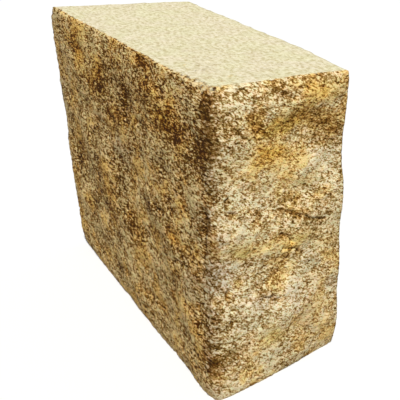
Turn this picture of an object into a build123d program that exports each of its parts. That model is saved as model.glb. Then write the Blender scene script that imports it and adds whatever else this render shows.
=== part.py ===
from build123d import *
import math
import os

# Concrete wall end block, one solid, in millimetres.
# +Z is up and the origin is the middle of the bottom bed. The long split face looks
# along -X, the split end along -Y, the moulded back along +X and the tapered moulded
# end along +Y. The two split faces come from a loft through level outlines, and the
# flat sides that the mould gives are then trimmed off it.

# Driving dimensions
course_height = 200.0
thickness = 100.0
face_length = 250.0
back_length = 198.0
mould_corner_radius = 4.0

# How far each corner of the long face lies behind its proudest corner
face_top_near = 11.8
face_top_far = 10.8
face_bottom_near = 0.0
face_bottom_far = 16.5

# How far each corner of the end face lies behind its proudest corner
end_top_near = 10.8
end_top_back = 1.3
end_bottom_near = 0.0
end_bottom_back = 12.7

# Swells of the broken surface, from the long gentle ones to the short ones above the grit
swell_length = 129.5
swell_count = 5
swell_shrink = 0.74
swell_turn = 164.5
swell_phase = 2.09
face_swell_height = 0.85
end_swell_height = 2.3

# Low shelves that run about level across a split face, where the break steps between layers
shelf_spacing = 46.0
shelf_sway = 9.0
shelf_sway_length = 83.0
face_shelf_height = 0.2
end_shelf_height = 0.8

# The splitter's blades keep the break straighter beside the edges: the share of the relief
# that is left at an edge, and how far in from it the relief takes to grow
edge_relief = 0.5
edge_reach = 16.0

# Wear along the broken edges, where grit falls away
arris_wear = 2.4
arris_reach = 7.0

# Chips off the two ends of the near upright edge
bottom_chip_depth = 1.0
bottom_chip_reach = 11.0
top_chip_depth = 2.5
top_chip_reach = 14.0

# Low corner of the top bed, between the back and the split end
low_corner_drop = 2.5
low_corner_along_back = 42.0
low_corner_across = 34.0

# Distance between samples of a split face, and how much closer they stand at its edges
sample_step = 8.5
sample_crowding = 0.6

# The loft runs past the moulded sides by this much before they are trimmed
trim_allowance = 12.0


def lean(across, up, corners):
    """Depth between four corners: near and far at the bottom, near and far at the top."""
    near_low, far_low, near_high, far_high = corners
    low = near_low + (far_low - near_low) * across
    high = near_high + (far_high - near_high) * across
    return low + (high - low) * up


def wear(distance):
    """Depth that is lost beside an edge, at a distance from it."""
    return arris_wear * math.exp(-distance / arris_reach)


def chips(across, up):
    """Depth that is lost at the two ends of the near upright edge."""
    bottom = bottom_chip_depth * math.exp(-(math.hypot(across, up) / bottom_chip_reach) ** 2)
    down = course_height - up
    return bottom + top_chip_depth * math.exp(-(math.hypot(across, down) / top_chip_reach) ** 2)


def stations(length):
    """Places along a length, closer together beside its two ends."""
    count = math.ceil(length / sample_step)
    turns = [2 * math.pi * step / count for step in range(count + 1)]
    return [length * (turn - sample_crowding * math.sin(turn)) / (2 * math.pi) for turn in turns]


class SplitFace:
    """A broken face: its depth behind the module plane at any place across and up it."""

    def __init__(self, length, corners, swell_height, shelf_height, first_order):
        self.length = length
        self.corners = corners
        self.swell_height = swell_height
        self.shelf_height = shelf_height
        self.orders = range(first_order, first_order + swell_count)
        self.proudest = 0.0
        places = [(across, up) for across in stations(length) for up in stations(course_height)]
        self.proudest = min(self.depth(across, up) for across, up in places)

    def swells(self, across, up):
        """Height of all the swells at a place."""
        height = 0.0
        for order in self.orders:
            shrink = swell_shrink ** (order - self.orders[0])
            turn = math.radians(swell_turn * order)
            along = across * math.cos(turn) + up * math.sin(turn)
            wave = math.sin(2 * math.pi * along / (swell_length * shrink) + swell_phase * order ** 2)
            height += self.swell_height * shrink * wave
        return height

    def shelves(self, across, up):
        """Height of the shelves: each rises slowly and ends in a shorter drop."""
        sway = shelf_sway * math.sin(2 * math.pi * across / shelf_sway_length + self.orders[0])
        turn = 2 * math.pi * (up + sway) / shelf_spacing
        return self.shelf_height * (math.sin(turn) + math.sin(2 * turn) / 4)

    def strength(self, across, up):
        """How much of the relief shows at a place, from its share at the edges to all of it."""
        inside = 1.0
        for distance in (across, self.length - across, up, course_height - up):
            inside *= 1 - math.exp(-max(distance, 0) / edge_reach)
        return edge_relief + (1 - edge_relief) * inside

    def depth(self, across, up):
        """Depth at a place, zero where the face stands proudest."""
        relief = self.swells(across, up) + self.shelves(across, up)
        depth = lean(across / self.length, up / course_height, self.corners)
        depth -= self.strength(across, up) * relief
        depth += wear(across) + wear(up) + wear(course_height - up) + chips(across, up)
        return depth - self.proudest

    def curve(self, start, finish, up, place):
        """A smooth level curve along the face from start to finish, and a little past it."""
        reach = self.length + trim_allowance
        across = stations(reach)
        points = []
        for distance in across:
            along = start + (finish - start) * distance / self.length
            points.append(place(along, self.depth(distance, up)))
        return Edge.make_spline(points, parameters=[distance / reach for distance in across])


face_corners = (face_bottom_near, face_bottom_far, face_top_near, face_top_far)
end_corners = (end_bottom_near, end_bottom_back, end_top_near, end_top_back)
long_face = SplitFace(face_length, face_corners, face_swell_height, face_shelf_height, 1)
end_face = SplitFace(thickness, end_corners, end_swell_height, end_shelf_height, 4)

# Where the module's sides stand: the split faces lie behind the left and the near one,
# and the far side tapers from the long face to the back
left = -thickness / 2
back = thickness / 2
near = -face_length / 2
far = face_length / 2
back_end = near + back_length
far_edge = left + min(long_face.depth(face_length, up) for up in stations(course_height))
taper = (far - back_end) / (back - far_edge)


def outline(up):
    """The level outline of the broken sides at one height, closed past the moulded ones."""
    corner_x = left + long_face.depth(0, up)
    corner_y = near + end_face.depth(0, up)
    end_curve = end_face.curve(corner_x, back, up, lambda x, depth: (x, near + depth, up))
    face_curve = long_face.curve(corner_y, far, up, lambda y, depth: (left + depth, y, up))
    outer_corner = ((end_curve @ 1).X, (face_curve @ 1).Y, up)
    back_line = Edge.make_line(end_curve @ 1, outer_corner)
    far_line = Edge.make_line(outer_corner, face_curve @ 1)
    return Wire([end_curve, back_line, far_line, face_curve])


def mould():
    """The space inside the moulded sides, open to the split ones and taller than the block."""
    past_left = left - trim_allowance
    past_near = near - trim_allowance
    far_left = far + taper * (far_edge - past_left)
    corners = [(past_left, past_near), (back, past_near), (back, back_end), (past_left, far_left)]
    below = Plane.XY.offset(-trim_allowance)
    plan = make_face(below * Polyline(corners, close=True))
    space = extrude(plan, course_height + 2 * trim_allowance)
    corner = space.edges().filter_by(Axis.Z).sort_by_distance((back, back_end, course_height / 2))[0]
    return fillet(corner, mould_corner_radius)


def low_corner():
    """The plane that takes off the low corner of the top bed, facing up and out."""
    corner_y = near + end_face.depth(thickness, course_height)
    on_back = Vector(back, corner_y + low_corner_along_back, course_height)
    on_end = Vector(back - low_corner_across, corner_y, course_height)
    lowest = Vector(back, corner_y, course_height - low_corner_drop)
    facing = (on_end - lowest).cross(on_back - lowest)
    return Plane(origin=lowest, x_dir=on_back - lowest, z_dir=-facing)


broken = Solid.make_loft([outline(up) for up in stations(course_height)])
block = (mould() & broken).solids()[0]
block = split(block, bisect_by=low_corner(), keep=Keep.BOTTOM).solids()[0]
os.makedirs("parts", exist_ok=True)
export_step(block, "parts/wall_end_block.step")
box = block.bounding_box()
print("size", box.size, "from", box.min, "volume", block.volume, "valid", block.is_valid)
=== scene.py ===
import functools
import math
import bmesh
import bpy
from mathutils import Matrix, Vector, noise


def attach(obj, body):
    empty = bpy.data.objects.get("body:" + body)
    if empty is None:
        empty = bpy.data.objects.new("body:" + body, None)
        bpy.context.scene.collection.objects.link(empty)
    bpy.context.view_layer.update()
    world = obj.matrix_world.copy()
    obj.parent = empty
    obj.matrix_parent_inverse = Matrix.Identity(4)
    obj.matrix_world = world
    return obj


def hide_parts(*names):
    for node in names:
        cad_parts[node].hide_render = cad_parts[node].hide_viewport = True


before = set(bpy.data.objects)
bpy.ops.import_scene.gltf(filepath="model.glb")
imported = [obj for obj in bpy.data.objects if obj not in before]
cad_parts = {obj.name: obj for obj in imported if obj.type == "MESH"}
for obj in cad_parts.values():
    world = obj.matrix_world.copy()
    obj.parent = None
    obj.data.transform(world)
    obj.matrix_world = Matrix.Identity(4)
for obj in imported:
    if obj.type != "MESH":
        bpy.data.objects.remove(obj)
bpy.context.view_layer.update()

# The block: one piece of dry-cast, sandstone-coloured concrete. Its long side and one end
# were broken off in a splitter, and the beds and other sides are as the mould left them.
# Lengths are in millimetres, and the mesh is scaled to metres once it is shaped.
COURSE_HEIGHT = 200.0
THICKNESS = 100.0
FACE_LENGTH = 250.0
BACK_LENGTH = 198.0
MOULD_CORNER_RADIUS = 4.0

# Corners of the long face and of the end face: near and far at the bottom, then at the top
FACE_CORNERS = (0.0, 16.5, 11.8, 10.8)
END_CORNERS = (0.0, 12.7, 10.8, 1.3)

SWELL_LENGTH = 129.5
SWELL_COUNT = 5
SWELL_SHRINK = 0.74
SWELL_TURN = 164.5
SWELL_PHASE = 2.09
FACE_SWELL_HEIGHT = 0.85
END_SWELL_HEIGHT = 2.3
SHELF_SPACING = 46.0
SHELF_SWAY = 9.0
SHELF_SWAY_LENGTH = 83.0
FACE_SHELF_HEIGHT = 0.2
END_SHELF_HEIGHT = 0.8
EDGE_RELIEF = 0.5
EDGE_REACH = 16.0
ARRIS_WEAR = 2.4
ARRIS_REACH = 7.0
BOTTOM_CHIP_DEPTH = 1.0
BOTTOM_CHIP_REACH = 11.0
TOP_CHIP_DEPTH = 2.5
TOP_CHIP_REACH = 14.0
LOW_CORNER_DROP = 2.5
LOW_CORNER_ALONG_BACK = 42.0
LOW_CORNER_ACROSS = 34.0
SAMPLE_STEP = 8.5
SAMPLE_CROWDING = 0.6

LEFT = -THICKNESS / 2
BACK = THICKNESS / 2
NEAR = -FACE_LENGTH / 2
FAR = FACE_LENGTH / 2
BACK_END = NEAR + BACK_LENGTH


def stations(length):
    """Places along a length, closer together beside its two ends."""
    count = math.ceil(length / SAMPLE_STEP)
    turns = [2 * math.pi * step / count for step in range(count + 1)]
    return [length * (turn - SAMPLE_CROWDING * math.sin(turn)) / (2 * math.pi) for turn in turns]


class SplitFace:
    """A broken face: how deep it lies behind the module plane at a place across and up it."""

    def __init__(self, length, corners, swell_height, shelf_height, first_order):
        self.length = length
        self.corners = corners
        self.swell_height = swell_height
        self.shelf_height = shelf_height
        self.orders = range(first_order, first_order + SWELL_COUNT)
        self.proudest = 0.0
        places = [(across, up) for across in stations(length) for up in stations(COURSE_HEIGHT)]
        self.proudest = min(self.depth(across, up) for across, up in places)

    def relief(self, across, up):
        """Height of the swells and shelves, less beside the edges than inside the face."""
        height = 0.0
        for order in self.orders:
            shrink = SWELL_SHRINK ** (order - self.orders[0])
            turn = math.radians(SWELL_TURN * order)
            along = across * math.cos(turn) + up * math.sin(turn)
            phase = SWELL_PHASE * order ** 2
            wave = math.sin(2 * math.pi * along / (SWELL_LENGTH * shrink) + phase)
            height += self.swell_height * shrink * wave
        sway = SHELF_SWAY * math.sin(2 * math.pi * across / SHELF_SWAY_LENGTH + self.orders[0])
        turn = 2 * math.pi * (up + sway) / SHELF_SPACING
        height += self.shelf_height * (math.sin(turn) + math.sin(2 * turn) / 4)
        inside = 1.0
        for distance in (across, self.length - across, up, COURSE_HEIGHT - up):
            inside *= 1 - math.exp(-max(distance, 0) / EDGE_REACH)
        return height * (EDGE_RELIEF + (1 - EDGE_RELIEF) * inside)

    def depth(self, across, up):
        """Depth of the cast and broken form, as in the construction."""
        near_low, far_low, near_high, far_high = self.corners
        share = across / self.length
        low = near_low + (far_low - near_low) * share
        high = near_high + (far_high - near_high) * share
        depth = low + (high - low) * up / COURSE_HEIGHT - self.relief(across, up)
        for distance in (across, up, COURSE_HEIGHT - up):
            depth += ARRIS_WEAR * math.exp(-distance / ARRIS_REACH)
        depth += BOTTOM_CHIP_DEPTH * math.exp(-(math.hypot(across, up) / BOTTOM_CHIP_REACH) ** 2)
        down = COURSE_HEIGHT - up
        depth += TOP_CHIP_DEPTH * math.exp(-(math.hypot(across, down) / TOP_CHIP_REACH) ** 2)
        return depth - self.proudest


long_face = SplitFace(FACE_LENGTH, FACE_CORNERS, FACE_SWELL_HEIGHT, FACE_SHELF_HEIGHT, 1)
end_face = SplitFace(THICKNESS, END_CORNERS, END_SWELL_HEIGHT, END_SHELF_HEIGHT, 4)
far_edge = LEFT + min(long_face.depth(FACE_LENGTH, up) for up in stations(COURSE_HEIGHT))
taper = (FAR - BACK_END) / (BACK - far_edge)

# Short cracks and undercut ledges: from one place across and up the face to another, then
# half the width and the depth. Each dies away over a few times its half width.
LONG_CUTS = (
    (13.0, 67.0, 16.0, 48.0, 1.3, 1.8),
    (5.0, 128.0, 9.0, 96.0, 1.8, 1.6),
    (62.0, 106.0, 78.0, 104.0, 2.0, 1.6),
    (76.0, 198.0, 90.0, 197.0, 3.0, 1.6),
    (118.0, 176.0, 121.0, 150.0, 2.4, 1.4),
    (31.0, 82.0, 52.0, 76.0, 1.6, 1.3),
)
END_CUTS = (
    (11.0, 72.0, 14.0, 61.5, 1.3, 2.2),
    (14.0, 61.5, 14.0, 52.0, 1.4, 2.2),
    (11.0, 133.0, 11.0, 126.5, 1.3, 1.9),
    (11.0, 126.5, 20.5, 119.5, 1.5, 2.2),
    (40.0, 60.5, 49.5, 56.5, 1.5, 2.2),
    (56.5, 115.0, 68.5, 110.0, 1.5, 2.2),
    (68.5, 110.0, 85.0, 103.0, 1.3, 1.8),
    (51.5, 102.0, 60.0, 94.5, 1.5, 2.2),
    (54.0, 91.5, 67.0, 86.0, 1.3, 1.7),
    (47.0, 191.0, 58.0, 189.0, 1.4, 1.8),
    (17.0, 197.0, 22.0, 197.0, 1.8, 2.4),
)
CUT_END = 3


def cut_depth(across, up, cuts):
    """Depth that the cracks take out at a place."""
    depth = 0.0
    for from_across, from_up, to_across, to_up, half_width, deepest in cuts:
        run, rise = to_across - from_across, to_up - from_up
        share = ((across - from_across) * run + (up - from_up) * rise) / (run * run + rise * rise)
        share = min(max(share, 0.0), 1.0)
        distance = math.hypot(across - from_across - share * run, up - from_up - share * rise)
        if distance < CUT_END * half_width:
            depth = max(depth, deepest * math.exp(-(distance / half_width) ** 2))
    return depth


# The broken surface above the smooth run: spalls and the ledges between them, grains of
# crushed stone, the crumbs of sand and cement on them, and where they stand less beside edges
SPALL_ACROSS = 24.0
SPALL_UP = 17.0
SPALL_HEIGHT = 0.5
SPALL_ROUGHNESS = (0.75, 2.1, 4)
LEDGES_PER_SPALL = 2.4
LEDGE_START = 0.35
LEDGE_RISE = 0.3
LEDGE_HEIGHT = 0.6
GRAIN_SIZE = 3.0
GRAIN_HEIGHT = 0.55
GRAIN_MIDDLE = 0.42
CRUMB_SIZE = 1.9
CRUMB_HEIGHT = 0.3
GRIT_DEPTH = 0.25
EDGE_CALM = 0.65
CALM_REACH = 7.0
CUT_WANDER = 2.2
CUT_WANDER_SIZE = 5.0
LONG_SEED = 3.0
END_SEED = 41.0


def grit(across, up, length, seed, cuts):
    """Depth of the broken surface behind the smooth run: without its grains, and with them."""
    place = Vector((across, up, seed))
    spall_place = Vector((across / SPALL_ACROSS, up / SPALL_UP, seed))
    spalls = noise.fractal(spall_place, *SPALL_ROUGHNESS)
    level = spalls * LEDGES_PER_SPALL
    rest = level - math.floor(level)
    step = min(max((rest - LEDGE_START) / LEDGE_RISE, 0.0), 1.0)
    ledges = (math.floor(level) + step) / LEDGES_PER_SPALL
    inside = min(across, length - across, up, COURSE_HEIGHT - up)
    freedom = 1.0 - EDGE_CALM * math.exp(-max(inside, 0.0) / CALM_REACH)
    depth = GRIT_DEPTH - freedom * (SPALL_HEIGHT * spalls + LEDGE_HEIGHT * ledges)
    wander = CUT_WANDER * noise.noise(place / CUT_WANDER_SIZE)
    depth += cut_depth(across + wander, up + wander, cuts)
    grains = GRAIN_HEIGHT * (noise.voronoi(place / GRAIN_SIZE)[0][0] - GRAIN_MIDDLE)
    crumbs = CRUMB_HEIGHT * noise.noise(place / CRUMB_SIZE)
    return depth, depth + grains - crumbs


# The mesh is one skin wound round the block: columns run along the long face from its far
# edge, then round the end face, the moulded back, its rounded corner and the far side. Rows
# run up the sides, and over the rims to the middle of each bed.
CELL = 1.0
FACE_COLUMNS = round(FACE_LENGTH / CELL)
END_COLUMNS = round(THICKNESS / CELL)
BACK_COLUMNS = 36
CORNER_COLUMNS = 4
FAR_COLUMNS = 26
BACK_START = FACE_COLUMNS + END_COLUMNS
CORNER_START = BACK_START + BACK_COLUMNS
FAR_START = CORNER_START + CORNER_COLUMNS
COLUMNS = FAR_START + FAR_COLUMNS
WALL_ROWS = round(COURSE_HEIGHT / CELL)
# Distances in from the edge of a bed, and then shares of the way to its middle
RIM_STEPS = (0.5, 1.2, 2.1, 3.3, 5.0)
BED_SHARES = (0.15, 0.35, 0.6)
END_ROWS = len(RIM_STEPS) + len(BED_SHARES) + 1
ROWS = WALL_ROWS + 2 * END_ROWS
# The broken faces stay this far inside the module planes
LEAST_DEPTH = 0.02
# The rows on the beds turn with the sides over this many columns each side of a corner, and
# step in at most so much further than their distance from the edge
TURN_COLUMNS = 4
LEAST_INWARD = 0.3


@functools.cache
def level_corners(up):
    """The near corner at a height, and where the long face meets the far side."""
    corner_x = LEFT + long_face.depth(0.0, up)
    corner_y = NEAR + end_face.depth(0.0, up)
    far_y = FAR
    for _ in range(4):
        across = FACE_LENGTH * (far_y - corner_y) / (FAR - corner_y)
        far_y = FAR - taper * (LEFT + long_face.depth(across, up) - far_edge)
    return corner_x, corner_y, far_y


@functools.cache
def wall_place(column, up):
    """A place on the sides with its grit and without it, how far across its face, how hollow."""
    corner_x, corner_y, far_y = level_corners(up)
    if column <= FACE_COLUMNS:
        y = far_y + (corner_y - far_y) * column / FACE_COLUMNS
        across = FACE_LENGTH * (y - corner_y) / (FAR - corner_y)
        hollow, rough = grit(across, up, FACE_LENGTH, LONG_SEED, LONG_CUTS)
        depth = long_face.depth(across, up)
        smooth = Vector((LEFT + depth, y))
        x = LEFT + max(depth + rough, LEAST_DEPTH)
        if column == 0:
            y = FAR - taper * (x - far_edge)
        if column == FACE_COLUMNS:
            end_rough = grit(0.0, up, THICKNESS, END_SEED, END_CUTS)[1]
            y = NEAR + max(end_face.depth(0.0, up) + end_rough, LEAST_DEPTH)
        return Vector((x, y)), smooth, across, hollow
    if column <= BACK_START:
        x = corner_x + (BACK - corner_x) * (column - FACE_COLUMNS) / END_COLUMNS
        across = THICKNESS * (x - corner_x) / (BACK - corner_x)
        hollow, rough = grit(across, up, THICKNESS, END_SEED, END_CUTS)
        depth = end_face.depth(across, up)
        y = NEAR + max(depth + rough, LEAST_DEPTH)
        return Vector((x, y)), Vector((x, NEAR + depth)), across, hollow
    turned = math.atan(1 / taper)
    tangent = MOULD_CORNER_RADIUS * math.tan(turned / 2)
    if column <= CORNER_START:
        start = wall_place(BACK_START, up)[0].y
        share = (column - BACK_START) / BACK_COLUMNS
        cast = Vector((BACK, start + (BACK_END - tangent - start) * share))
    elif column < FAR_START:
        angle = turned * (column - CORNER_START) / CORNER_COLUMNS
        cast = Vector((BACK - MOULD_CORNER_RADIUS, BACK_END - tangent))
        cast += MOULD_CORNER_RADIUS * Vector((math.cos(angle), math.sin(angle)))
    else:
        start = Vector((BACK, BACK_END)) + tangent * Vector((-1.0, taper)).normalized()
        cast = start.lerp(wall_place(0, up)[0], (column - FAR_START) / FAR_COLUMNS)
    return cast, cast, 0.0, 0.0


def outward(column):
    """The level direction that the side at a column faces, turned smoothly past the corners."""
    total = Vector((0.0, 0.0))
    for offset in range(-TURN_COLUMNS, TURN_COLUMNS + 1):
        side = (column + offset) % COLUMNS
        if side <= FACE_COLUMNS:
            total += Vector((-1.0, 0.0))
        elif side <= BACK_START:
            total += Vector((0.0, -1.0))
        elif side <= CORNER_START:
            total += Vector((1.0, 0.0))
        else:
            total += Vector((taper, 1.0)).normalized()
    return total.normalized()


def low_corner(place):
    """How far the top bed lies low at a place, near its corner between the back and the end."""
    from_end = place.y - NEAR - end_face.depth(THICKNESS, COURSE_HEIGHT)
    share = 1 - (BACK - place.x) / LOW_CORNER_ACROSS - from_end / LOW_CORNER_ALONG_BACK
    return LOW_CORNER_DROP * max(share, 0.0)


# How the rims of the beds crumble: loose runs with pits in them, each with its size and depth
LOOSE_SIZE = 6.0
LOOSE_DEPTH = 0.55
LOOSE_VARIES = 0.9
LOOSE_LEAST = 0.1
PIT_SIZE = 2.2
PIT_DEPTH = 0.8
RIM_REACH = 1.7
TOP_SEED = 21.0
BOTTOM_SEED = 27.0
BOTTOM_SHARE = 0.5


def rim_drop(distance, place, seed):
    """How far the rim of a bed has crumbled, at a distance in from its edge."""
    loose_place = Vector((place.x / LOOSE_SIZE, place.y / LOOSE_SIZE, seed))
    loose = max(LOOSE_DEPTH + LOOSE_VARIES * noise.noise(loose_place), LOOSE_LEAST)
    pit_place = Vector((place.x / PIT_SIZE, place.y / PIT_SIZE, seed + 3.0))
    pits = PIT_DEPTH * max(0.0, noise.noise(pit_place))
    return (loose + pits) * math.exp(-distance / RIM_REACH)


# Stains of the mix on the split faces: the place across and up the face, the reach both
# ways, and the strength of brown, ochre, grey and cream. Brown is iron in the crushed stone,
# ochre is pigment, and grey and cream are where the cement or the sand lies thicker. Some
# rows paint light and shade: the brown and grey band down the near corner is partly painted
# shade, and the cream band along the bottom of the long side is painted light.
LONG_STAINS = (
    # These three rows make the dark band down the near corner: partly brown and grey grit, partly
    # painted shade of the rounded corner
    (2.0, 100.0, 7.0, 120.0, 0.1, 0.0, 1.0, 0.0),
    (5.0, 183.0, 10.0, 14.0, 1.0, 0.0, 0.3, 0.0),
    (5.0, 170.0, 9.0, 9.0, 0.9, 0.0, 0.2, 0.0),
    (8.0, 157.0, 9.0, 7.0, 0.5, 0.0, 0.3, 0.0),
    (26.0, 166.0, 13.0, 8.0, 0.8, 0.0, 0.5, 0.0),
    (11.0, 118.0, 9.0, 8.0, 0.7, 0.0, 0.3, 0.0),
    (8.0, 43.0, 6.0, 6.0, 0.5, 0.0, 0.0, 0.0),
    (4.0, 32.0, 8.0, 14.0, 0.8, 0.0, 0.2, 0.0),
    (58.0, 171.0, 14.0, 10.0, 0.8, 1.0, 0.0, 0.0),
    (122.0, 164.0, 16.0, 15.0, 1.0, 0.1, 0.1, 0.0),
    (86.0, 176.0, 14.0, 7.0, 0.7, 0.3, 0.1, 0.0),
    (74.0, 184.0, 9.0, 6.0, 0.5, 0.0, 0.0, 0.0),
    (83.0, 196.0, 9.0, 4.0, 0.9, 0.0, 0.0, 0.0),
    (30.0, 192.0, 14.0, 6.0, 0.0, 0.0, 0.4, 0.7),
    (160.0, 160.0, 13.0, 10.0, 0.6, 0.5, 0.0, 0.0),
    (163.0, 178.0, 12.0, 8.0, 0.0, 0.6, 0.0, 0.4),
    (190.0, 194.0, 14.0, 6.0, 0.0, 0.6, 0.0, 0.6),
    (232.0, 158.0, 14.0, 20.0, 0.0, 0.0, 0.6, 0.3),
    (224.0, 96.0, 14.0, 12.0, 0.5, 0.4, 0.0, 0.0),
    (250.0, 152.0, 8.0, 60.0, 0.0, 0.0, 0.6, 0.9),
    (250.0, 70.0, 6.0, 50.0, 0.0, 0.0, 0.4, 0.5),
    (133.0, 128.0, 24.0, 11.0, 0.0, 0.0, 0.7, 0.5),
    (96.0, 116.0, 17.0, 9.0, 0.0, 0.1, 0.1, 0.9),
    (77.0, 139.0, 9.0, 6.0, 0.6, 0.0, 0.1, 0.0),
    (83.0, 101.0, 12.0, 6.0, 0.9, 0.0, 0.1, 0.0),
    (14.0, 143.0, 9.0, 7.0, 0.0, 0.0, 0.2, 0.6),
    (119.0, 66.0, 10.0, 9.0, 0.9, 0.0, 0.2, 0.0),
    (43.0, 93.0, 14.0, 6.0, 0.0, 0.6, 0.0, 0.4),
    (160.0, 78.0, 20.0, 11.0, 0.4, 0.4, 0.0, 0.0),
    (98.0, 50.0, 30.0, 14.0, 0.0, 0.1, 0.3, 0.5),
    (60.0, 58.0, 12.0, 8.0, 0.0, 0.1, 0.0, 0.6),
    (58.0, 30.0, 28.0, 13.0, 0.0, 0.2, 0.3, 0.5),
    (24.0, 70.0, 12.0, 16.0, 0.0, 0.0, 0.5, 0.3),
    (2.0, 4.0, 10.0, 8.0, 0.0, 0.0, 0.0, 1.0),
    # A cream band along the whole bottom edge: painted light, lifting the shade under the bottom
    # arris
    (126.0, -1.0, 130.0, 8.0, 0.0, 0.0, 0.4, 1.0),
    (25.0, 153.0, 9.0, 7.0, 0.6, 0.0, 0.2, 0.0),
    (148.0, 146.0, 10.0, 8.0, 0.7, 0.0, 0.3, 0.0),
    (86.0, 87.0, 9.0, 6.0, 0.0, 0.2, 0.1, 0.6),
    (213.0, 150.0, 10.0, 8.0, 0.0, 0.2, 0.2, 0.6),
    (38.0, 47.0, 9.0, 7.0, 0.0, 0.0, 0.1, 0.6),
    (194.0, 177.0, 12.0, 14.0, 0.0, 0.7, 0.0, 0.4),
    (44.0, 160.0, 9.0, 6.0, 0.5, 0.1, 0.0, 0.0),
    (152.0, 170.0, 9.0, 6.0, 0.5, 0.2, 0.0, 0.0),
    (16.0, 80.0, 9.0, 7.0, 0.4, 0.0, 0.6, 0.0),
    (159.0, 114.0, 9.0, 6.0, 0.5, 0.0, 0.2, 0.0),
    (60.0, 114.0, 9.0, 6.0, 0.4, 0.1, 0.0, 0.0),
    (80.0, 122.0, 12.0, 8.0, 0.0, 0.0, 0.1, 0.5),
    (122.0, 111.0, 10.0, 7.0, 0.0, 0.2, 0.1, 0.5),
    (2.0, 193.0, 5.0, 6.0, 0.9, 0.0, 0.3, 0.0),
    (18.0, 1.0, 12.0, 8.0, 0.0, 0.0, 0.0, 1.0),
    (45.0, 89.0, 9.0, 5.0, 0.0, 0.0, 0.0, 0.6),
    (133.0, 148.0, 8.0, 6.0, 0.5, 0.0, 0.1, 0.0),
    (3.0, 121.0, 6.0, 6.0, 0.0, 0.0, 0.1, 0.7),
    (131.0, 108.0, 10.0, 5.0, 0.0, 0.0, 0.0, 0.6),
)
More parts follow.
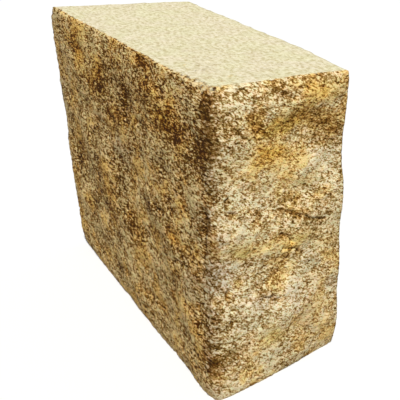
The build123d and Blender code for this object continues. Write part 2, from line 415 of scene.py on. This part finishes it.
END_STAINS = (
    # These two rows carry the dark band round the near corner: partly brown grit, partly painted
    # shade
    (0.5, 100.0, 4.0, 120.0, 0.6, 0.0, 0.8, 0.0),
    (0.0, 173.0, 5.5, 21.0, 1.0, 0.0, 0.3, 0.0),
    (1.0, 24.0, 5.0, 10.0, 0.8, 0.0, 1.0, 0.0),
    (46.0, 197.0, 9.0, 3.0, 0.6, 0.4, 0.0, 0.0),
    (45.0, 191.0, 9.0, 4.0, 0.0, 0.2, 0.3, 0.8),
    (84.0, 190.0, 20.0, 9.0, 0.0, 0.8, 0.0, 0.3),
    (36.0, 171.0, 12.0, 6.0, 0.8, 0.8, 0.0, 0.0),
    (58.0, 172.0, 16.0, 6.0, 0.0, 0.9, 0.0, 0.2),
    (87.0, 161.0, 8.0, 9.0, 0.7, 0.4, 0.0, 0.0),
    (99.0, 150.0, 5.0, 7.0, 0.6, 0.0, 0.0, 0.0),
    (99.0, 134.0, 5.0, 7.0, 0.6, 0.0, 0.0, 0.0),
    (44.0, 157.0, 18.0, 6.0, 0.0, 0.9, 0.0, 0.0),
    (76.0, 146.0, 20.0, 10.0, 0.0, 0.0, 0.1, 0.8),
    (79.0, 154.0, 8.0, 4.0, 0.5, 0.0, 0.3, 0.0),
    (13.0, 151.0, 11.0, 6.0, 0.0, 0.3, 0.0, 0.6),
    (48.0, 139.0, 18.0, 6.0, 0.0, 0.4, 0.0, 0.9),
    (70.0, 134.0, 12.0, 7.0, 0.0, 0.5, 0.0, 0.3),
    (68.0, 111.0, 14.0, 4.0, 0.6, 0.2, 0.2, 0.0),
    (96.0, 103.0, 8.0, 10.0, 0.0, 0.2, 0.0, 1.0),
    (24.0, 110.0, 14.0, 7.0, 0.0, 0.1, 0.2, 0.6),
    (20.0, 99.0, 14.0, 6.0, 0.0, 0.7, 0.0, 0.5),
    (42.0, 95.0, 20.0, 7.0, 0.0, 0.5, 0.0, 0.7),
    (66.0, 95.0, 11.0, 6.0, 0.0, 0.7, 0.0, 0.8),
    (9.0, 84.0, 10.0, 14.0, 0.0, 0.0, 0.8, 0.3),
    (13.0, 53.0, 5.0, 5.0, 0.8, 0.0, 0.0, 0.0),
    (45.0, 60.0, 18.0, 7.0, 0.0, 0.0, 0.6, 0.9),
    (78.0, 54.0, 16.0, 12.0, 0.0, 0.1, 0.5, 0.3),
    (12.0, 31.0, 16.0, 6.0, 0.6, 0.1, 0.1, 0.0),
    (47.0, 32.0, 16.0, 7.0, 0.0, 0.8, 0.0, 0.9),
    (73.0, 37.0, 12.0, 8.0, 0.0, 0.0, 0.9, 0.5),
    (88.0, 26.0, 12.0, 10.0, 0.0, 0.2, 0.0, 0.6),
    (93.0, 10.0, 10.0, 7.0, 0.0, 0.1, 0.0, 0.9),
    (52.0, 9.0, 16.0, 5.0, 0.0, 0.2, 0.0, 0.8),
    (7.0, 8.0, 12.0, 9.0, 0.0, 0.1, 0.0, 1.0),
    (88.0, 87.0, 9.0, 6.0, 0.5, 0.5, 0.0, 0.0),
    (15.0, 20.0, 9.0, 5.0, 0.5, 0.0, 0.4, 0.0),
    (74.0, 100.0, 9.0, 5.0, 0.0, 0.2, 0.0, 0.5),
    (15.0, 178.0, 8.0, 5.0, 0.5, 0.0, 0.0, 0.0),
    (71.0, 131.0, 10.0, 6.0, 0.0, 0.0, 0.0, 0.8),
    (53.0, 87.0, 10.0, 5.0, 0.0, 0.0, 0.0, 0.6),
    (28.0, 46.0, 8.0, 5.0, 0.0, 0.0, 0.1, 0.6),
    (4.0, 104.0, 6.0, 7.0, 0.0, 0.0, 0.5, 0.9),
    (78.0, 18.0, 10.0, 6.0, 0.0, 0.0, 0.0, 0.6),
    (40.0, 117.0, 9.0, 4.0, 0.8, 0.0, 0.2, 0.0),
    (78.0, 64.0, 10.0, 6.0, 0.0, 0.3, 0.0, 0.5),
    (79.0, 171.0, 8.0, 5.0, 0.5, 0.2, 0.1, 0.0),
    (76.0, 197.0, 9.0, 4.0, 0.5, 0.2, 0.0, 0.0),
    (28.0, 86.0, 8.0, 4.0, 0.5, 0.0, 0.2, 0.0),
    (38.0, 110.0, 8.0, 4.0, 0.5, 0.2, 0.0, 0.0),
    (17.0, 50.0, 6.0, 6.0, 0.5, 0.0, 0.0, 0.0),
    (12.0, 165.0, 7.0, 4.0, 0.5, 0.0, 0.1, 0.0),
    (20.0, 34.0, 8.0, 5.0, 0.5, 0.0, 0.0, 0.0),
    (0.0, 70.0, 4.0, 8.0, 0.5, 0.0, 0.1, 0.0),
    (37.0, 52.0, 8.0, 4.0, 0.0, 0.0, 0.0, 0.7),
    (5.0, 2.0, 12.0, 6.0, 0.0, 0.0, 0.0, 0.8),
    (55.0, 178.0, 10.0, 7.0, 0.0, 0.7, 0.0, 0.3),
)
# Their edges wander over long and short waves, each with its size, reach and seed. A stain
# ends where its square distance, in reaches, is past this, and stains add up to a limit.
STAIN_WANDERS = ((11.0, 4.0, 7.0), (4.0, 2.5, 17.0))
WANDER_SEED = 2
STAIN_END = 6.0
STAIN_LIMIT = 1.2


def stain(across, up, stains):
    """The strength of each stain at a place on a split face, with ragged edges."""
    here_across, here_up = across, up
    for size, reach, seed in STAIN_WANDERS:
        wander = noise.noise_vector(Vector((across / size, up / size, seed)))
        here_across += reach * wander.x
        here_up += reach * wander.y
    sums = [0.0, 0.0, 0.0, 0.0]
    for at_across, at_up, reach_across, reach_up, *strengths in stains:
        off = ((here_across - at_across) / reach_across) ** 2
        off += ((here_up - at_up) / reach_up) ** 2
        if off < STAIN_END:
            sums = [total + strength * math.exp(-off) for total, strength in zip(sums, strengths)]
    return [min(total, STAIN_LIMIT) for total in sums]


# The pale skin of the mould is whole a little way in from the broken edges. Beside the near
# corner it is worn: a share of it is left down the faces, and it is whole only further in.
SKIN_INSET = 4.0
WORN_INSET = 20.0
WORN_SHARE = 0.38
WORN_REACH = 26.0
WORN_DOWN = 5.0
# How far the stains of one split face run round the near corner into the other
CORNER_SHARE = 0.5
CORNER_REACH = 5.0

# Without a seed the wander of the stains differs from run to run
noise.seed_set(WANDER_SEED)

skin = bmesh.new()
bmesh.ops.create_grid(skin, x_segments=COLUMNS, y_segments=ROWS, size=0.5)
for face in skin.faces:
    face.smooth = True
stains_layer = skin.verts.layers.float_color.new("stains")
cast_layer = skin.verts.layers.float.new("cast_skin")
hollow_layer = skin.verts.layers.float.new("hollow")
long_layer = skin.verts.layers.float.new("long_side")
outwards = [outward(column) for column in range(COLUMNS)]
for vert in skin.verts:
    column = round((vert.co.x + 0.5) * COLUMNS) % COLUMNS
    row = round((vert.co.y + 0.5) * ROWS) - END_ROWS
    up = COURSE_HEIGHT * min(max(row, 0), WALL_ROWS) / WALL_ROWS
    place, smooth, across, hollow = wall_place(column, up)
    top_place = wall_place(column, COURSE_HEIGHT)[0]
    top = COURSE_HEIGHT - rim_drop(0.0, top_place, TOP_SEED) - low_corner(top_place)
    height = up * top / COURSE_HEIGHT
    split = column <= BACK_START
    vert[cast_layer] = 1.0
    # How hollow the grit lies here, which the material darkens as painted shade
    vert[hollow_layer] = hollow
    if split:
        worn = WORN_SHARE * math.exp(-(across / WORN_REACH) ** 2)
        vert[cast_layer] = worn * math.exp(-((COURSE_HEIGHT - up) / WORN_DOWN) ** 2)
        on_long = column <= FACE_COLUMNS
        here = stain(across, up, LONG_STAINS if on_long else END_STAINS)
        round_corner = stain(-across, up, END_STAINS if on_long else LONG_STAINS)
        share = CORNER_SHARE * math.exp(-across / CORNER_REACH)
        vert[stains_layer] = [a + (b - a) * share for a, b in zip(here, round_corner)]
        vert[long_layer] = 1 - share if on_long else share
    step = max(row - WALL_ROWS, -row)
    if step == END_ROWS:
        place = Vector((0.0, 0.0))
        height = COURSE_HEIGHT if row > 0 else 0.0
        vert[cast_layer] = 1.0
    elif step > 0:
        distance = RIM_STEPS[min(step, len(RIM_STEPS)) - 1]
        place = place.lerp(smooth, distance / RIM_STEPS[-1])
        ray = place.normalized()
        place = place - ray * distance / max(ray.dot(outwards[column]), LEAST_INWARD)
        if step > len(RIM_STEPS):
            place = place * (1 - BED_SHARES[step - len(RIM_STEPS) - 1])
        drop = rim_drop(distance, place, TOP_SEED if row > 0 else BOTTOM_SEED)
        drop *= 1 - distance / RIM_STEPS[-1]
        height = COURSE_HEIGHT - drop - low_corner(place) if row > 0 else BOTTOM_SHARE * drop
        if split:
            inset = min(1.0, distance / (SKIN_INSET + WORN_INSET * worn))
            vert[cast_layer] = worn + (1.0 - worn) * inset
    elif row == 0:
        height = BOTTOM_SHARE * rim_drop(0.0, place, BOTTOM_SEED)
    vert.co = (place.x, place.y, height)

bmesh.ops.remove_doubles(skin, verts=skin.verts, dist=0.001)
bmesh.ops.recalc_face_normals(skin, faces=skin.faces)
bmesh.ops.scale(skin, verts=skin.verts, vec=(0.001, 0.001, 0.001))
block_mesh = bpy.data.meshes.new("end_block")
skin.to_mesh(block_mesh)
skin.free()
end_block = bpy.data.objects.new("end_block", block_mesh)
bpy.context.scene.collection.objects.link(end_block)


def linear(code):
    """A colour written as sRGB hex, in the linear values that a shader takes."""
    parts = [int(code[i:i + 2], 16) / 255 for i in (1, 3, 5)]
    parts = [p / 12.92 if p <= 0.04045 else ((p + 0.055) / 1.055) ** 2.4 for p in parts]
    return (*parts, 1.0)


def add(tree, kind, settings, inputs):
    """Adds a node, sets its settings, and fills or links its inputs by name or number."""
    node = tree.nodes.new(kind)
    for name, value in settings.items():
        setattr(node, name, value)
    for name, value in inputs.items():
        if isinstance(value, bpy.types.NodeSocket):
            tree.links.new(value, node.inputs[name])
        else:
            node.inputs[name].default_value = value
    return node


# Sandstone-coloured concrete, dry-cast from crushed stone, sand, cement and pigment. Where it
# is broken it shows rough, matt grit in straw, ochre and brown with dark gaps between the
# grains, whose darkness is partly painted shade. Where the mould held it, it has a fine, pale and
# even sandy skin.
concrete = bpy.data.materials.new("sandstone_concrete")
concrete.use_nodes = True
tree = concrete.node_tree
tree.nodes.clear()
place = add(tree, "ShaderNodeTexCoord", {}, {}).outputs["Object"]
# The mix is laid down in layers, so that its patterns are drawn out along the block and the
# thin strokes even more so: the turn is in radians, and the scale is the stretch each way
stretched = []
for turn, stretch in ((0.45, (1.3, 2.0, 0.85)), (0.35, (3.2, 1.3, 1.1))):
    inputs = {"Vector": place, "Rotation": (0.0, turn, 0.0), "Scale": stretch}
    mapping = add(tree, "ShaderNodeMapping", {"vector_type": "TEXTURE"}, inputs)
    stretched.append(mapping.outputs["Vector"])
drawn_out, streaked = stretched

stains = add(tree, "ShaderNodeAttribute", {"attribute_name": "stains"}, {})
cream = stains.outputs["Alpha"]
parts = add(tree, "ShaderNodeSeparateColor", {}, {"Color": stains.outputs["Color"]})
brown, ochre, grey = parts.outputs
hollow = add(tree, "ShaderNodeAttribute", {"attribute_name": "hollow"}, {}).outputs["Fac"]
long_side = add(tree, "ShaderNodeAttribute", {"attribute_name": "long_side"}, {}).outputs["Fac"]
cast_skin = add(tree, "ShaderNodeAttribute", {"attribute_name": "cast_skin"}, {}).outputs["Fac"]

# Noise: its place, the size of its coarsest features in millimetres, detail and roughness.
# The sand in the mix is too fine to show, so the smallest grains are drawn 1 to 2 mm across.
noises = []
for at, size, detail, roughness in (
    (place, 24, 3.0, 0.6),
    (drawn_out, 7, 3.0, 0.65),
    (streaked, 2.2, 2.0, 0.6),
    (drawn_out, 1.0, 1.0, 0.6),
    (drawn_out, 1.9, 1.0, 0.6),
    (place, 22, 5.0, 0.6),
    (drawn_out, 1.6, 2.0, 0.6),
    (place, 22, 4.0, 0.6),
    (place, 4, 2.0, 0.6),
    (drawn_out, 6, 3.0, 0.6),
):
    inputs = {"Vector": at, "Scale": 1000 / size, "Detail": detail, "Roughness": roughness}
    noises.append(add(tree, "ShaderNodeTexNoise", {}, inputs).outputs["Fac"])
patch, blotch, strokes, small_grit, large_grit, hue, sand, skin_hue, frayed, pitted = noises
colour_mix = {"data_type": "RGBA"}
multiply = {"data_type": "RGBA", "blend_type": "MULTIPLY"}
fine = add(tree, "ShaderNodeMix", colour_mix, {0: 0.38, 6: small_grit, 7: large_grit}).outputs[2]
grain = add(tree, "ShaderNodeTexVoronoi", {}, {"Vector": drawn_out, "Scale": 1000 / 1.3})
parts = add(tree, "ShaderNodeSeparateColor", {}, {"Color": grain.outputs["Color"]})
grain_hue, grain_tone = parts.outputs[:2]

# How dark or light the broken surface is: each pattern by its weight, less half of them all
multiply_add = {"operation": "MULTIPLY_ADD"}
weights = ((patch, 0.3), (blotch, 0.6), (strokes, 0.8), (fine, 2.4), (grain_tone, 0.35))
pattern = -0.5 * sum(weight for _, weight in weights)
for value, weight in weights:
    inputs = {0: value, 1: weight, 2: pattern}
    pattern = add(tree, "ShaderNodeMath", multiply_add, inputs).outputs[0]
# The tone is lifted by the cream stains and lowered by the brown ones, and it darkens in the
# hollows of the grit and in its cracks: painted shade
shift = 0.0
for value, weight in ((hollow, -0.14), (cream, 0.17), (brown, -0.25)):
    shift = add(tree, "ShaderNodeMath", multiply_add, {0: value, 1: weight, 2: shift}).outputs[0]
# The long side is darker than the end and has more contrast, partly its own browner colour and
# partly painted shade of the side that the sun only grazes. Its contrast is less where brown and
# grey lie together
contrast = add(tree, "ShaderNodeMath", multiply_add, {0: long_side, 1: 0.7, 2: 1.25}).outputs[0]
level = add(tree, "ShaderNodeMath", multiply_add, {0: long_side, 1: -0.045, 2: 0.79}).outputs[0]
level = add(tree, "ShaderNodeMath", multiply_add, {0: shift, 1: contrast, 2: level}).outputs[0]
quiet = add(tree, "ShaderNodeMath", {"operation": "MULTIPLY"}, {0: brown, 1: grey}).outputs[0]
contrast = add(tree, "ShaderNodeMath", multiply_add, {0: quiet, 1: -0.7, 2: contrast}).outputs[0]
tone = add(tree, "ShaderNodeMath", multiply_add, {0: pattern, 1: contrast, 2: level}).outputs[0]

# The shades of the broken stone from its dark gaps, partly painted shade, to its palest grains,
# and of the skin
broken_ramp = add(tree, "ShaderNodeValToRGB", {}, {"Fac": tone})
skin_ramp = add(tree, "ShaderNodeValToRGB", {}, {"Fac": sand})
broken_shades = (
    (0.0, "#442a04"),
    (0.15, "#5e3f0e"),
    (0.30, "#77571c"),
    (0.45, "#95743c"),
    (0.60, "#b59663"),
    (0.72, "#cfb07e"),
    (0.84, "#e8d1a0"),
    (1.0, "#fff3d0"),
)
skin_shades = (
    (0.34, "#d2c69c"),
    (0.5, "#ebe3c0"),
    (0.66, "#f8f1d4"),
)
for ramp, shades in ((broken_ramp, broken_shades), (skin_ramp, skin_shades)):
    for _ in shades[2:]:
        ramp.color_ramp.elements.new(0.5)
    for element, (position, code) in zip(ramp.color_ramp.elements, shades):
        element.position = position
        element.color = linear(code)

# Tints over them: cool and warm patches, the ochre and grey stains, the long side (browner,
# partly as painted shade), each grain
tint_factors = []
for value, low, high, most in (
    (hue, 0.5, 0.40, 0.8),
    (hue, 0.5, 0.60, 0.8),
    (tone, 0.25, 0.85, 1.0),
    (skin_hue, 0.40, 0.60, 1.0),
):
    inputs = {"Value": value, "From Min": low, "From Max": high, "To Max": most}
    tint_factors.append(add(tree, "ShaderNodeMapRange", {}, inputs).outputs["Result"])
cool, warm, lit, greenish = tint_factors
# The long side's tint: browner in its dark grains, partly painted shade of that side
inputs = {0: lit, 6: linear("#f6e4b6"), 7: linear("#f5e8cc")}
long_tint = add(tree, "ShaderNodeMix", colour_mix, inputs).outputs[2]
inputs = {0: grain_hue, 6: linear("#fff3ef"), 7: linear("#f8fff4")}
grain_tint = add(tree, "ShaderNodeMix", colour_mix, inputs).outputs[2]
broken = broken_ramp.outputs["Color"]
for factor, tint in (
    (cool, linear("#ebeeee")),
    (warm, linear("#fdebb8")),
    (ochre, linear("#fde9a4")),
    (grey, linear("#e0e2f8")),
    (long_side, long_tint),
    (1.0, grain_tint),
):
    broken = add(tree, "ShaderNodeMix", multiply, {0: factor, 6: broken, 7: tint}).outputs[2]

inputs = {0: greenish, 6: linear("#fffbfb"), 7: linear("#fcfcf4")}
skin_tint = add(tree, "ShaderNodeMix", colour_mix, inputs).outputs[2]
inputs = {0: 1.0, 6: skin_ramp.outputs["Color"], 7: skin_tint}
skin_colour = add(tree, "ShaderNodeMix", multiply, inputs).outputs[2]

# The skin ends in a ragged line
ragged = add(tree, "ShaderNodeMath", {"operation": "ADD"}, {0: cast_skin, 1: frayed}).outputs[0]
inputs = {"Value": ragged, "From Min": 0.8, "From Max": 1.1, "To Max": 1.0}
ragged = add(tree, "ShaderNodeMapRange", {}, inputs).outputs["Result"]
inputs = {0: ragged, 6: broken, 7: skin_colour}
colour = add(tree, "ShaderNodeMix", colour_mix, inputs).outputs[2]

# Bumps of up to 2 mm between spots 6 mm across, and of up to 0.9 mm between grains
inputs = {"Strength": 0.6, "Distance": 0.002, "Height": pitted}
relief = add(tree, "ShaderNodeBump", {}, inputs).outputs["Normal"]
inputs = {"Strength": 0.7, "Distance": 0.0009, "Height": fine, "Normal": relief}
relief = add(tree, "ShaderNodeBump", {}, inputs).outputs["Normal"]
shader = add(tree, "ShaderNodeBsdfPrincipled", {}, {
    "Base Color": colour,
    "Roughness": 0.95,
    "Specular IOR Level": 0.15,
    "Normal": relief,
})
add(tree, "ShaderNodeOutputMaterial", {}, {"Surface": shader.outputs["BSDF"]})
block_mesh.materials.append(concrete)

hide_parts("wall_end_block")
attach(end_block, "root")

# The studio: a wide sheet of white paper on level ground, under plain daylight that comes
# from above the camera. Seen straight on or in a gloss, paper and sky are pure white, and
# what they throw on the block is dimmer.
sheet = bmesh.new()
bmesh.ops.create_grid(sheet, x_segments=1, y_segments=1, size=6.0)
floor_mesh = bpy.data.meshes.new("floor")
sheet.to_mesh(floor_mesh)
sheet.free()
floor = bpy.data.objects.new("floor", floor_mesh)
bpy.context.scene.collection.objects.link(floor)
paper = bpy.data.materials.new("white_paper")
sky = bpy.data.worlds.new("studio")
bpy.context.scene.world = sky
seen_values = []
for owner in (paper, sky):
    owner.use_nodes = True
    tree = owner.node_tree
    tree.nodes.clear()
    ray = add(tree, "ShaderNodeLightPath", {}, {})
    seen = ray.outputs["Is Camera Ray"]
    for other in ("Is Glossy Ray", "Is Transmission Ray"):
        inputs = {0: seen, 1: ray.outputs[other]}
        seen = add(tree, "ShaderNodeMath", {"operation": "MAXIMUM"}, inputs).outputs[0]
    seen_values.append(seen)
paper_seen, sky_seen = seen_values

tree = paper.node_tree
inputs = {0: paper_seen, 6: linear("#aca8a0"), 7: linear("#ffffff")}
white = add(tree, "ShaderNodeMix", colour_mix, inputs).outputs[2]
surface = add(tree, "ShaderNodeBsdfDiffuse", {}, {"Color": white})
add(tree, "ShaderNodeOutputMaterial", {}, {"Surface": surface.outputs["BSDF"]})
floor_mesh.materials.append(paper)

tree = sky.node_tree
# The strength of the light that the sky gives, and that of its white behind the block
backgrounds = {0: sky_seen}
for number, strength in ((1, 0.16), (2, 1.0)):
    inputs = {"Color": linear("#ffffff"), "Strength": strength}
    backgrounds[number] = add(tree, "ShaderNodeBackground", {}, inputs).outputs["Background"]
both = add(tree, "ShaderNodeMixShader", {}, backgrounds)
add(tree, "ShaderNodeOutputWorld", {}, {"Surface": both.outputs["Shader"]})

sun = bpy.data.objects.new("daylight", bpy.data.lights.new("daylight", "SUN"))
sun.data.energy = 3.3
sun.data.angle = math.radians(5)
sun_from = Vector((-0.25, -0.52, 0.82))
sun.rotation_euler = sun_from.to_track_quat("Z", "Y").to_euler()
bpy.context.scene.collection.objects.link(sun)

# The camera: it stands where a perspective fit of the block's edges in the photograph puts
# it, out beyond the near corner and above it, with a long lens.
camera = bpy.data.objects.new("camera", bpy.data.cameras.new("camera"))
camera.location = (-0.2721, -0.54901, 0.37322)
camera.rotation_euler = [math.radians(angle) for angle in (64.778, 2.398, -29.9)]
camera.data.sensor_width = 36.0
camera.data.lens = 85.817
camera.data.shift_x = -0.05
camera.data.shift_y = -0.025
bpy.context.scene.collection.objects.link(camera)
bpy.context.scene.camera = camera
bpy.context.scene.view_settings.view_transform = "Standard"
